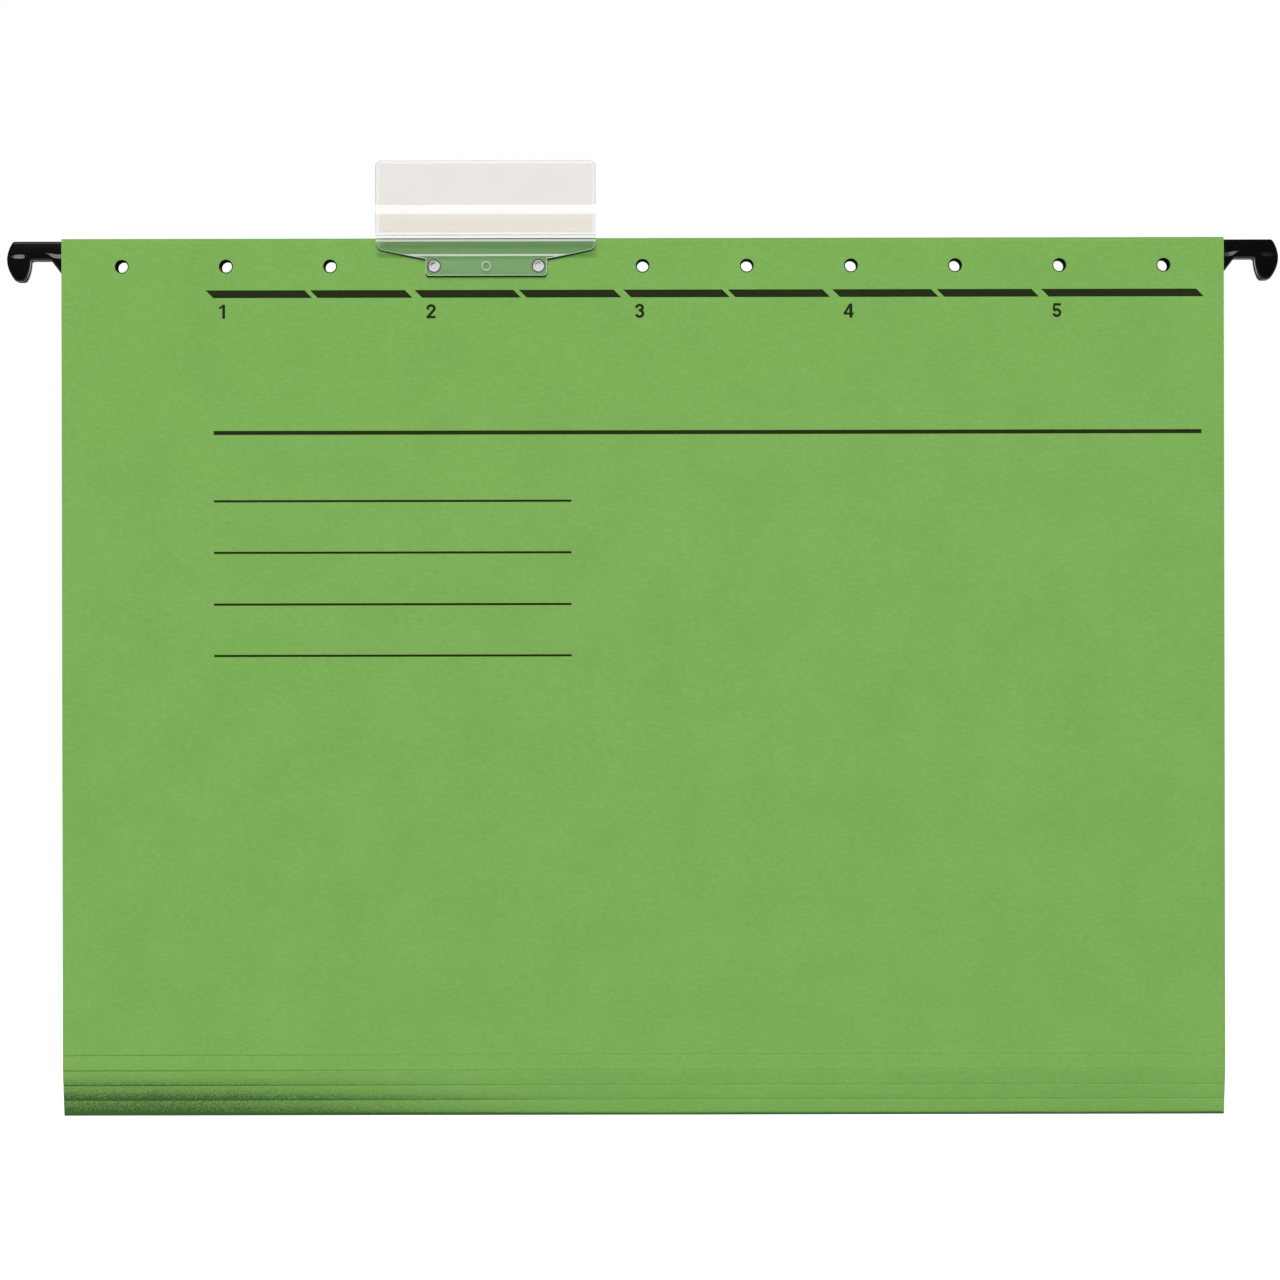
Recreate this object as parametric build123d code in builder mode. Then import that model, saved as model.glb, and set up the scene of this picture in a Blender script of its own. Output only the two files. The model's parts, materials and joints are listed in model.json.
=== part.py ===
"""Hanging file folder for A4 sheets: a scored card sheet folded at its base, two hook rails
held in its folded top edges, and a clear index tab with a paper label.

Millimetres, +Z up. The front of the folder faces -Y and its hooks reach out along X.
The origin is under the middle of the folder, at the bottom of its base fold.
"""

import os
from math import asin, cos, sin

from build123d import *

os.makedirs("parts", exist_ok=True)

# Card sheet
card_width = 318.0
card_height = 240.0
card_thick = 0.3
card_hole_r = 1.9

# Scores across the base, counted upwards from the bottom fold on each side
score_pitch = 4.2
corner_score_count = 3
strip_score_count = 1
score_slit = 0.2
groove_width = 0.5
groove_depth = 0.08

# Hook rails, one in each folded top edge
rail_height = 14.0
rail_thick = 2.0
rail_edge_r = 0.5
rail_top_clear = 0.4
rail_side_clear = 0.1

# Hooks at both ends of a rail, which sit on cabinet rails
cabinet_rail_spacing = 330.0
notch_width = 5.6
notch_corner_r = 0.7
arm_height = 5.2
lip_width = 6.2
lip_drop = 11.0
lip_foot_width = 2.4
lip_lean = 1.7
lip_top_lean = 1.9
hook_ramp_run = 7.0

# Holes through card and rail, which take the tab's pins
hole_count = 11
hole_pitch = 28.5
rail_hole_r = 1.6

# Flap of the card, folded over the rail and glued to the leaf below it
flap_glue_height = 7.0
flap_slope_height = 5.5
flap_rail_clear = 0.6
flap_bend_r = 1.0
flap_gap = 0.4
glue_thick = 0.15
glue_height = 5.0
glue_inset = 4.0

# Clear index tab
tab_width = 60.0
tab_wall = 0.7
tab_rise = 20.6
tab_corner_r = 0.8
tab_plate_width = 33.2
tab_plate_drop = 10.4
tab_plate_corner_r = 1.0
holes_left_of_tab_count = 3
tab_seat_gap = 0.1
tab_web_reach = 3.0
tab_web_low = 4.6
tab_web_high = 1.0
tab_web_bend_r = 0.7
tab_shoulder_high = 3.2
tab_shoulder_low = 5.8
tab_window_low = 0.3
pin_clear = 0.1
pin_bore_r = 0.9
pin_tip = 0.5
pin_short = 0.2
gate_r = 1.25
gate_height = 0.15

# Paper label in the tab's window
label_width = 58.0
label_thick = 0.2
label_side_clear = 0.15
label_edge_clear = 0.2

# Depths, from the outer face of a leaf to the plane midway between the leaves
pocket_space = rail_thick + 2 * rail_side_clear
pocket_depth = pocket_space + 2 * card_thick
half_stack = pocket_depth + flap_gap / 2
half_gap = half_stack - card_thick

# Depth of the tab in front of the folder, which sets the middle of the whole depth
slot_depth = label_thick + 2 * label_side_clear
tab_reach = tab_seat_gap + tab_wall + tab_web_reach + slot_depth + tab_wall
fold_y = tab_reach / 2
front_y = fold_y - half_stack
back_y = fold_y + half_stack

# Base at rest: each half is a flat slope from the bottom fold to its corner score
base_length = corner_score_count * score_pitch
base_lean = asin(half_gap / base_length)
fold_z = card_thick * sin(base_lean) - score_slit / 2 * cos(base_lean)
corner_z = fold_z + base_length * cos(base_lean)
leaf_score_z = corner_z + strip_score_count * score_pitch

# Heights at the top edge
rail_top = card_height - card_thick - rail_top_clear
hole_z = rail_top - rail_height / 2
slope_top = rail_top - rail_height - flap_rail_clear
slope_bottom = slope_top - flap_slope_height
flap_end = slope_bottom - flap_glue_height


def leaf(outer_y, inward, low_z, groove_z):
    """A leaf of the card with its top edge folded over the rail pocket and glued down inside."""

    def at(depth, z):
        return (outer_y + inward * depth, z)

    panel = card_thick / 2
    pocket_flap = panel + pocket_space + card_thick
    glued_flap = panel + card_thick + glue_thick
    fold_r = (pocket_space + card_thick) / 2
    fold_start = card_height - card_thick / 2 - fold_r
    with BuildPart() as sheet:
        with BuildSketch(Plane.YZ):
            with BuildLine():
                Line(at(panel, low_z), at(panel, fold_start))
                ThreePointArc(
                    at(panel, fold_start),
                    at(panel + fold_r, fold_start + fold_r),
                    at(pocket_flap, fold_start),
                )
                FilletPolyline(
                    at(pocket_flap, fold_start),
                    at(pocket_flap, slope_top),
                    at(glued_flap, slope_bottom),
                    at(glued_flap, flap_end),
                    radius=flap_bend_r,
                )
            trace(line_width=card_thick)
            for z in groove_z:
                with Locations(at(groove_depth / 2, z)):
                    Rectangle(groove_depth, groove_width, mode=Mode.SUBTRACT)
        extrude(amount=card_width / 2, both=True)
        with BuildSketch(Plane.XZ.offset(-outer_y)):
            with Locations((0, hole_z)):
                with GridLocations(hole_pitch, 0, hole_count, 1):
                    Circle(card_hole_r)
        extrude(amount=2 * half_stack, both=True, mode=Mode.SUBTRACT)
    return sheet


def base_half(side):
    """A half of the base, flat from the bottom fold up to its corner score, with scores between."""

    def at(along, depth):
        y = along * sin(base_lean) + depth * cos(base_lean)
        z = along * cos(base_lean) - depth * sin(base_lean)
        return (fold_y + side * y, fold_z + z)

    low = score_slit / 2
    high = base_length - score_slit / 2
    with BuildPart() as half:
        with BuildSketch(Plane.YZ):
            with BuildLine():
                Polyline(at(low, 0), at(high, 0), at(high, card_thick), at(low, card_thick), close=True)
            make_face()
            for score in range(1, corner_score_count):
                start = score * score_pitch - groove_width / 2
                end = start + groove_width
                floor = card_thick - groove_depth
                with BuildLine():
                    Polyline(
                        at(start, floor),
                        at(end, floor),
                        at(end, card_thick),
                        at(start, card_thick),
                        close=True,
                    )
                make_face(mode=Mode.SUBTRACT)
        extrude(amount=card_width / 2, both=True)
    return half


def glue_line(outer_y, inward):
    """The line of glue between a leaf and its folded flap."""
    middle_y = outer_y + inward * (card_thick + glue_thick / 2)
    middle_z = flap_end + flap_glue_height / 2
    with BuildPart() as glue:
        with Locations((0, middle_y, middle_z)):
            Box(card_width - 2 * glue_inset, glue_thick, glue_height)
    return glue


def hook_rail(middle_y):
    """A moulded rail with a downward hook at each end and a row of holes for tabs."""
    notch_out = cabinet_rail_spacing / 2 + notch_width / 2
    notch_in = cabinet_rail_spacing / 2 - notch_width / 2
    tip = notch_out + lip_width
    seat_z = rail_top - arm_height
    foot_z = rail_top - lip_drop
    foot_in = notch_out + lip_lean
    rail_low = rail_top - rail_height
    with BuildPart() as rail:
        with BuildSketch(Plane.XZ.offset(-middle_y)) as outline:
            with BuildLine():
                top_end = (tip - lip_top_lean, rail_top)
                foot_end = (foot_in + lip_foot_width, foot_z)
                Line((0, rail_top), top_end)
                ThreePointArc(top_end, (tip, (rail_top + seat_z + foot_z) / 3), foot_end)
                Polyline(
                    foot_end,
                    (foot_in, foot_z),
                    (notch_out, seat_z),
                    (notch_in, seat_z),
                    (notch_in - hook_ramp_run, rail_low),
                    (0, rail_low),
                    (0, rail_top),
                )
            make_face()
            seat_corners = outline.vertices().filter_by_position(Axis.Y, seat_z, seat_z)
            fillet(seat_corners, radius=notch_corner_r)
            foot_corners = outline.vertices().filter_by_position(Axis.Y, foot_z, foot_z)
            fillet(foot_corners, radius=notch_corner_r)
            mirror(about=Plane.YZ)
        extrude(amount=rail_thick / 2, both=True)
        fillet(rail.faces().filter_by(Axis.Y).edges(), radius=rail_edge_r)
        with BuildSketch(Plane.XZ.offset(-middle_y)):
            with Locations((0, hole_z)):
                with GridLocations(hole_pitch, 0, hole_count, 1):
                    Circle(rail_hole_r)
        extrude(amount=rail_thick, both=True, mode=Mode.SUBTRACT)
    return rail


# Back leaf: carries the corner score at its lower edge and keeps the top score as a groove
back_leaf = leaf(back_y, -1, corner_z + score_slit / 2, [leaf_score_z])
back_rail = hook_rail(back_y - card_thick - pocket_space / 2)
back_glue = glue_line(back_y, -1)

# Base of the folder, in two halves that meet at the bottom fold
back_base = base_half(1)
front_base = base_half(-1)

# Strip of the front between its corner score and its top score
with BuildPart() as front_strip:
    with BuildSketch(Plane.YZ):
        with Locations((front_y + card_thick / 2, (corner_z + leaf_score_z) / 2)):
            Rectangle(card_thick, leaf_score_z - corner_z - score_slit)
    extrude(amount=card_width / 2, both=True)

# Front leaf, which folds outwards at the top score
front_leaf = leaf(front_y, 1, leaf_score_z + score_slit / 2, [])
front_rail = hook_rail(front_y + card_thick + pocket_space / 2)
front_glue = glue_line(front_y, 1)

# Places of the index tab
tab_x = hole_pitch * (holes_left_of_tab_count + 0.5 - (hole_count - 1) / 2)
tab_top = card_height + tab_rise
plate_y = front_y - tab_seat_gap - tab_wall / 2
pane_y = plate_y - tab_web_reach
slot_y = pane_y - tab_wall / 2 - slot_depth / 2
window_low = card_height + tab_window_low
slot_low = window_low + tab_wall
slot_high = tab_top - tab_wall

# Clear tab: plate on the card, web sloping out and up, and a window open at both ends
with BuildPart() as tab_holder:
    with BuildSketch(Plane.YZ.offset(tab_x)):
        with BuildLine():
            FilletPolyline(
                (plate_y, card_height - tab_plate_drop),
                (plate_y, card_height - tab_web_low),
                (pane_y, card_height - tab_web_high),
                (pane_y, tab_top),
                radius=tab_web_bend_r,
            )
        trace(line_width=tab_wall)
        with Locations((slot_y - tab_wall / 2, (window_low + tab_top) / 2)):
            Rectangle(slot_depth + tab_wall, tab_top - window_low)
        with Locations((slot_y, (slot_low + slot_high) / 2)):
            Rectangle(slot_depth, slot_high - slot_low, mode=Mode.SUBTRACT)
    extrude(amount=tab_width / 2, both=True)
    with BuildSketch(Plane.XZ) as front_view:
        with BuildLine():
            Polyline(
                (tab_x, tab_top),
                (tab_x + tab_width / 2, tab_top),
                (tab_x + tab_width / 2, card_height - tab_shoulder_high),
                (tab_x + tab_plate_width / 2, card_height - tab_shoulder_low),
                (tab_x + tab_plate_width / 2, card_height - tab_plate_drop),
                (tab_x, card_height - tab_plate_drop),
                close=True,
            )
        make_face()
        outer_corners = front_view.vertices().group_by(Axis.X)[-1]
        fillet(outer_corners.sort_by(Axis.Y)[-1], radius=tab_corner_r)
        plate_corners = front_view.vertices().group_by(Axis.Y)[0]
        fillet(plate_corners.sort_by(Axis.X)[-1], radius=tab_plate_corner_r)
        mirror(about=Plane.YZ.offset(tab_x))
    extrude(amount=2 * (tab_reach + half_stack), both=True, mode=Mode.INTERSECT)
    pin_length = tab_wall / 2 + tab_seat_gap + pocket_depth - pin_short
    with BuildSketch(Plane.XZ.offset(-plate_y)):
        with Locations((tab_x, hole_z)):
            with GridLocations(hole_pitch, 0, 2, 1):
                Circle(rail_hole_r - pin_clear)
    extrude(amount=-pin_length)
    with BuildSketch(Plane.XZ.offset(tab_wall / 2 - plate_y)):
        with Locations((tab_x, hole_z)):
            with GridLocations(hole_pitch, 0, 2, 1):
                Circle(pin_bore_r)
    extrude(amount=pin_tip - tab_wall / 2 - pin_length, mode=Mode.SUBTRACT)
    with BuildSketch(Plane.XZ.offset(tab_wall / 2 - plate_y)):
        with Locations((tab_x, hole_z)):
            Circle(gate_r)
    extrude(amount=gate_height)

# Paper label, loose in the window so that it slides out at either end
with BuildPart() as label_insert:
    with Locations((tab_x, slot_y, (slot_low + slot_high) / 2)):
        Box(label_width, label_thick, slot_high - slot_low - 2 * label_edge_clear)

pieces = {
    "back_leaf": back_leaf,
    "back_rail": back_rail,
    "back_flap_glue": back_glue,
    "back_base": back_base,
    "front_base": front_base,
    "front_score_strip": front_strip,
    "front_leaf": front_leaf,
    "front_rail": front_rail,
    "front_flap_glue": front_glue,
    "tab_holder": tab_holder,
    "label_insert": label_insert,
}
for name, piece in pieces.items():
    piece.part.label = name
    export_step(piece.part, f"parts/{name}.step")
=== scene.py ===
import json
import math

import bmesh
import bpy
from mathutils import Matrix, Vector
from mathutils.geometry import interpolate_bezier


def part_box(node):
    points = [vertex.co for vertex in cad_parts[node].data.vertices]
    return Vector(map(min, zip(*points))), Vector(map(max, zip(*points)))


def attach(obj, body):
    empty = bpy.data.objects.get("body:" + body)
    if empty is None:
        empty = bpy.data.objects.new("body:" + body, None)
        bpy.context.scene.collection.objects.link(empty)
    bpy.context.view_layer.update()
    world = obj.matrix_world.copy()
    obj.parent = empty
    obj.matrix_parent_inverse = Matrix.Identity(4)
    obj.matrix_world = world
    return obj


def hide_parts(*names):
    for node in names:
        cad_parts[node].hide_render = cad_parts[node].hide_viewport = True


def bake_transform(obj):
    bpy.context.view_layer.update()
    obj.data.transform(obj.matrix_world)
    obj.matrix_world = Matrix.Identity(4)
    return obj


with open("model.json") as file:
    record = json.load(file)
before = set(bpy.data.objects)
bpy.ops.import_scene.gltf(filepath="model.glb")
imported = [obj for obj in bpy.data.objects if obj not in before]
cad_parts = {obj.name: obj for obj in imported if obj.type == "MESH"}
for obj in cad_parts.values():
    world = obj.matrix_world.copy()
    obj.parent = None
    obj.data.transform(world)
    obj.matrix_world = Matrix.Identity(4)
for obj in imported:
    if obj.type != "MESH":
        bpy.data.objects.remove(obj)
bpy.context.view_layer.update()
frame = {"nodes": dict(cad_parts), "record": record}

# Card leaves: the two sides of one sheet of green recycled card, dyed right through. The top
# edge of each is folded in over a rail and glued down, and a row of holes is punched through
# both layers. They are 318 mm wide and 0.3 mm thick.
mm = 0.001
micron = 1e-6
card_thick = 0.3 * mm
hole_r = 1.9 * mm
hole_count = 11
hole_pitch = 28.5 * mm
hole_sides = 36
hole_drop = 7.7 * mm
fold_r = 1.25 * mm
fold_steps = 18
flap_slope_drop = 15.3 * mm
flap_slope = 5.5 * mm
flap_glued = 7.0 * mm
flap_lift = 0.45 * mm
flap_bend = 0.5 * mm
flap_bend_steps = 4
leaf_overlap = 2.1 * mm
crease_z = 107.8 * mm
crease_reach = 0.8 * mm
crease_fade = 1.2 * mm
crease_depth = 0.07 * mm
fibre_height = 0.06 * mm
card_dark = (0.179, 0.394, 0.081, 1)
card_light = (0.217, 0.446, 0.102, 1)
# Dark green for the painted shade in the scores, along the bottom fold and over the base
card_shade_green = (0.046, 0.119, 0.028, 1)

front_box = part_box("front_leaf")
back_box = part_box("back_leaf")
front_face = front_box[0].y
back_face = back_box[1].y
fold_middle = (front_face + back_face) / 2
card_width = front_box[1].x - front_box[0].x
card_top = front_box[1].z
hole_z = card_top - hole_drop
joint_at = {
    joint["name"]: Vector(joint["pos_m"])
    for joint in frame["record"]["behaviour"]["joints"]
    if "pos_m" in joint
}
leaf_low = joint_at["front_leaf_swing"].z + leaf_overlap


class Paint:
    """A socket of a finish. Arithmetic with it adds Math nodes, and node() adds any other node."""

    def __init__(self, tree, socket=None):
        self.tree = tree
        self.socket = socket

    def node(self, kind, inputs, output=0, **settings):
        made = self.tree.nodes.new(kind)
        for name, value in settings.items():
            setattr(made, name, value)
        for name, value in inputs.items():
            if isinstance(value, Paint):
                self.tree.links.new(value.socket, made.inputs[name])
            else:
                made.inputs[name].default_value = value
        return Paint(self.tree, made.outputs[output] if made.outputs else None)

    def calc(self, operation, first, second):
        return self.node("ShaderNodeMath", {0: first, 1: second}, operation=operation)

    def __add__(self, other):
        return self.calc("ADD", self, other)

    def __radd__(self, other):
        return self.calc("ADD", other, self)

    def __sub__(self, other):
        return self.calc("SUBTRACT", self, other)

    def __rsub__(self, other):
        return self.calc("SUBTRACT", other, self)

    def __mul__(self, other):
        return self.calc("MULTIPLY", self, other)

    def __rmul__(self, other):
        return self.calc("MULTIPLY", other, self)

    def ramp(self, low, high, bottom=0.0, top=1.0):
        """This value taken smoothly from low..high to bottom..top."""
        return self.node(
            "ShaderNodeMapRange",
            {"Value": self, "From Min": low, "From Max": high, "To Min": bottom, "To Max": top},
            interpolation_type="SMOOTHSTEP",
        )

    def tint(self, first, second):
        """The colour between first and second that this value picks."""
        # A Mix node's colours are its inputs 6 and 7 and its output 2
        return self.node("ShaderNodeMix", {0: self, 6: first, 7: second}, 2, data_type="RGBA")

    def grain(self, scale, detail=2.0, stretch=(1, 1, 1)):
        """Noise on Object coordinates with scale lumps to the metre, stretched along an axis."""
        place = self.node("ShaderNodeTexCoord", {}, "Object")
        drawn = self.node("ShaderNodeMapping", {"Vector": place, "Scale": stretch})
        return self.node(
            "ShaderNodeTexNoise", {"Vector": drawn, "Scale": scale, "Detail": detail}, "Fac"
        )


def new_finish(name):
    """A new material and the Paint that its nodes are made from."""
    material = bpy.data.materials.new(name)
    material.use_nodes = True
    material.node_tree.nodes.clear()
    return material, Paint(material.node_tree)


def card_finish():
    """Uncoated recycled card: short fibres and cloudy pulp, and painted shade in its scores, along its
    fold and over its base.
    """
    material, paint = new_finish("recycled_card")
    fibres = paint.grain(1500, 3.0, (0.45, 1.0, 1.0))
    specks = paint.grain(2600, 2.0)
    clouds = paint.grain(55, 3.0)
    crease_shade = paint.node("ShaderNodeAttribute", {}, "Fac", attribute_name="crease_shade")
    base_shade = paint.node("ShaderNodeAttribute", {}, "Fac", attribute_name="base_shade")
    pulp = 0.5 * fibres + 0.2 * specks + 0.3 * clouds
    green = pulp.ramp(0.3, 0.7).tint(card_dark, card_light)
    # Painted shade: the base and score marks darken the green, mottled by the pulp
    base_shade_spots = base_shade * (0.45 + 0.5 * clouds + 0.6 * specks.ramp(0.35, 0.65))
    painted_shade = (0.8 * base_shade_spots + crease_shade * (0.35 + 0.8 * clouds)).ramp(0.0, 1.0)
    height = 0.7 * fibres + 0.3 * specks
    raised = paint.node(
        "ShaderNodeBump", {"Strength": 0.25, "Distance": fibre_height, "Height": height}
    )
    shader = paint.node(
        "ShaderNodeBsdfPrincipled",
        {
            "Base Color": painted_shade.tint(green, card_shade_green),
            "Roughness": 0.86 - 0.12 * specks,
            "Specular IOR Level": 0.22,
            "Sheen Weight": 0.06,
            "Normal": raised,
        },
    )
    paint.node("ShaderNodeOutputMaterial", {"Surface": shader})
    return material


def all_of(bm):
    """Every vertex, edge and face of a bmesh."""
    return bm.verts[:] + bm.edges[:] + bm.faces[:]


def verts_in(made):
    """The vertices among what an operator made."""
    return [part for part in made if isinstance(part, bmesh.types.BMVert)]


def with_ends(edges):
    """These edges and their vertices."""
    return edges + list({v for edge in edges for v in edge.verts})


def edges_at(bm, **places):
    """The edges whose ends both lie at these coordinates, such as z=0.1."""
    return [
        edge
        for edge in bm.edges
        if all(abs(getattr(v.co, axis) - at) < micron for axis, at in places.items() for v in edge.verts)
    ]


def pull(bm, edges, way):
    """Extrudes these edges by way and returns the edges at the far side."""
    made = bmesh.ops.extrude_edge_only(bm, edges=edges)["geom"]
    moved = set(verts_in(made))
    bmesh.ops.translate(bm, verts=list(moved), vec=way)
    edges_made = [part for part in made if isinstance(part, bmesh.types.BMEdge)]
    return [edge for edge in edges_made if moved.issuperset(edge.verts)]


def round_off(bm, edges, offset, steps):
    """Rounds these edges, from this far to each side of them."""
    bmesh.ops.bevel(
        bm, geom=edges, offset=offset, affect="EDGES", segments=steps, profile=0.5, material=-1
    )


def apply_form(piece):
    """Makes what a piece's modifiers show its own mesh."""
    shown = piece.evaluated_get(bpy.context.evaluated_depsgraph_get())
    formed = bpy.data.meshes.new_from_object(shown)
    piece.modifiers.clear()
    piece.data = formed
    formed.name = piece.name


def set_form(piece, smooth_below=30):
    """Applies a piece's modifiers and shades it smooth below this angle, in degrees."""
    apply_form(piece)
    piece.data.shade_smooth()
    piece.data.set_sharp_from_angle(angle=math.radians(smooth_below))


def new_piece(bm, name, finish):
    """Makes an object at the origin from a bmesh."""
    mesh = bpy.data.meshes.new(name)
    bm.to_mesh(mesh)
    bm.free()
    mesh.materials.append(finish)
    piece = bpy.data.objects.new(name, mesh)
    bpy.context.scene.collection.objects.link(piece)
    return piece


def card_piece(bm, name, turned):
    """A card piece from the middle surface of its sheet, turned round for the back of the folder."""
    if turned:
        about = Matrix.Rotation(math.pi, 3, "Z")
        bmesh.ops.rotate(bm, verts=bm.verts, cent=(0, fold_middle, 0), matrix=about)
    bmesh.ops.remove_doubles(bm, verts=bm.verts, dist=micron / 10)
    bmesh.ops.recalc_face_normals(bm, faces=bm.faces)
    piece = new_piece(bm, name, card)
    wall = piece.modifiers.new("card", "SOLIDIFY")
    wall.thickness = card_thick
    wall.offset = 0
    wall.use_even_offset = True
    set_form(piece)
    return piece


def leaf_sheet():
    """The middle surface of a leaf at the front: holes, panel, top fold and glued flap."""
    bm = bmesh.new()
    band = card_top - card_thick / 2 - fold_r - hole_z
    bmesh.ops.create_circle(bm, segments=hole_sides, radius=hole_r)
    tile = bmesh.ops.create_circle(bm, segments=4, radius=math.sqrt(2))["verts"]
    tile_edges = list({edge for v in tile for edge in v.link_edges})
    bmesh.ops.rotate(bm, verts=tile, matrix=Matrix.Rotation(math.pi / 4, 3, "Z"))
    bmesh.ops.scale(bm, verts=tile, vec=(hole_pitch / 2, band, 1))
    bmesh.ops.subdivide_edges(bm, edges=tile_edges, cuts=hole_sides // 4 - 1)
    bmesh.ops.bridge_loops(bm, edges=bm.edges[:])
    bmesh.ops.rotate(bm, verts=bm.verts, matrix=Matrix.Rotation(math.pi / 2, 3, "X"))
    bmesh.ops.spin(
        bm,
        geom=all_of(bm),
        axis=(0, 0, 1),
        dvec=(hole_pitch, 0, 0),
        angle=0,
        steps=hole_count - 1,
        use_duplicate=True,
    )
    row = hole_count * hole_pitch
    bmesh.ops.translate(bm, verts=bm.verts, vec=((hole_pitch - row) / 2, 0, hole_z))
    bmesh.ops.remove_doubles(bm, verts=bm.verts, dist=micron)
    for side in (-1, 1):
        pull(bm, edges_at(bm, x=side * row / 2), (side * (card_width - row) / 2, 0, 0))
    flap = verts_in(bmesh.ops.duplicate(bm, geom=all_of(bm))["geom"])
    bmesh.ops.translate(bm, verts=flap, vec=(0, 2 * fold_r, 0))
    bmesh.ops.spin(
        bm,
        geom=with_ends(edges_at(bm, y=0, z=hole_z + band)),
        cent=(0, fold_r, hole_z + band),
        axis=(1, 0, 0),
        angle=-math.pi,
        steps=fold_steps,
    )
    bmesh.ops.remove_doubles(bm, verts=bm.verts, dist=micron)
    row_z = hole_z - band
    row_edges = edges_at(bm, y=0, z=row_z)
    for z, inward in (
        (crease_z + crease_fade, 0),
        (crease_z + crease_reach, 0),
        (crease_z, crease_depth),
        (crease_z - crease_reach, -crease_depth),
        (crease_z - crease_fade, 0),
        (leaf_low, 0),
    ):
        row_edges = pull(bm, row_edges, (0, inward, z - row_z))
        row_z = z
    slope_top = card_top - flap_slope_drop
    low = edges_at(bm, y=2 * fold_r, z=hole_z - band)
    upper = pull(bm, low, (0, 0, slope_top - hole_z + band))
    lower = pull(bm, upper, (0, flap_lift - 2 * fold_r, -flap_slope))
    pull(bm, lower, (0, 0, -flap_glued))
    round_off(bm, upper + lower, flap_bend, flap_bend_steps)
    bmesh.ops.translate(bm, verts=bm.verts, vec=(0, front_face + card_thick / 2, 0))
    return bm


card = card_finish()
for side in ("front", "back"):
    leaf = card_piece(leaf_sheet(), f"{side}_leaf_card", turned=side == "back")
    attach(leaf, f"{side}_leaf")
    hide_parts(f"{side}_leaf")

# Base of the folder: the same sheet between the leaves, with four scores pressed into each side
# of the bottom fold, 4.2 mm apart. The card bulges a little between its scores, more at the left.
# Its green is darkened by painted shade in the scores, along the bottom fold, towards the lower
# edge of each strip and over the lower left. Each piece bends over one of the folder's creases.
score_count = 4
score_pitch = 4.2 * mm
score_reach = 0.3 * mm
score_depth = 0.09 * mm
score_rows = 8
row_step = 0.42 * mm
row_gap = 0.33 * mm
card_columns = 60
crease_zone = 0.12 * mm
bottom_steps = 12
bulge_least = 0.05 * mm
bulge_most = 0.17 * mm
upper_bulge = 0.3
# Between these two places the base turns to its left part, which bulges more and takes more painted
# shade
left_ease_start = 10 * mm
left_ease_end = -150 * mm
fold_shade_reach = 0.45 * mm

# Strengths of the painted shade in the scores and along the bottom fold, and over the base, that the
# card's finish reads
fold_shade_strength = 1.5
score_shade_strength = 0.08
score_shade_left = 0.75
base_shade_share = 0.75
base_shade_right = 0.22

corner_up = joint_at["front_corner"] - joint_at["base_fold"]
base_length = corner_up.length
base_lean = math.atan2(-corner_up.y, corner_up.z)
top_score = base_length + score_pitch
lower_seam = base_length / 2
upper_seam = base_length + score_pitch / 2
# The painted shade over the base fades out between these heights
base_shade_end = 1.2 * base_length
base_shade_full = 0.15 * base_length


def ease(start, end, value):
    """0 at start and 1 at end, smoothly between them and level beyond."""
    share = min(1, max(0, (value - start) / (end - start)))
    return share * share * (3 - 2 * share)


def scored_sheet(low, high):
    """Flat card from low to high, measured up from the bottom fold, with its scores and painted shade.
    """
    bm = bmesh.new()
    crease_shade = bm.verts.layers.float.new("crease_shade")
    base_shade = bm.verts.layers.float.new("base_shade")
    scores = [count * score_pitch for count in range(1, score_count + 1)]
    fine = [share * score_reach / score_rows for share in range(-score_rows, score_rows + 1)]
    rows = {low, high}
    rows |= {low + count * row_step for count in range(1, round((high - low) / row_step))}
    rows = {row for row in rows if all(abs(row - score) > row_gap for score in scores)}
    rows |= {score + step for score in scores for step in fine if low < score + step < high}
    rows = sorted(rows)
    bmesh.ops.spin(
        bm,
        geom=[bm.verts.new((-card_width / 2, 0, rows[0]))],
        axis=(0, 0, 1),
        dvec=(card_width / card_columns, 0, 0),
        angle=0,
        steps=card_columns,
    )
    edge_row = bm.edges[:]
    for row, next_row in zip(rows, rows[1:]):
        edge_row = pull(bm, edge_row, (0, 0, next_row - row))
    for v in bm.verts:
        left = ease(left_ease_start, left_ease_end, v.co.x)
        near = min(abs(v.co.z - score) for score in scores)
        groove = max(0, 1 - near / score_reach)
        across = v.co.z / score_pitch % 1
        bulge = (bulge_least + (bulge_most - bulge_least) * left) * 4 * across * (1 - across)
        if v.co.z > base_length:
            bulge *= upper_bulge if v.co.z < top_score else 0
        v.co.y += score_depth * groove - bulge
        # Painted shade towards the lower edge of each strip, over the lower left of the base, and a
        # little on the lowest strips at the right
        strip_low_shade = (1 - across) ** 2
        # Painted shade in the scores, more at the left, and along the bottom fold
        v[crease_shade] = max(groove * (score_shade_strength + score_shade_left * left), fold_shade_strength - v.co.z / fold_shade_reach)
        v[base_shade] = left * ease(base_shade_end, base_shade_full, v.co.z) * base_shade_share * (1 + strip_low_shade)
        if v.co.z < 2 * score_pitch:
            v[base_shade] += base_shade_right * strip_low_shade * (1 - left)
    return bm


def turn_below(bm, height):
    """Leans the card below this height inwards by the lean of the base, about its inner face."""
    for v in bm.verts:
        share = ease(height + crease_zone, height - crease_zone, v.co.z)
        about = Matrix.Rotation(share * base_lean, 3, "X")
        pivot = Vector((v.co.x, card_thick / 2, height))
        v.co = pivot + about @ (v.co - pivot)


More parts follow.
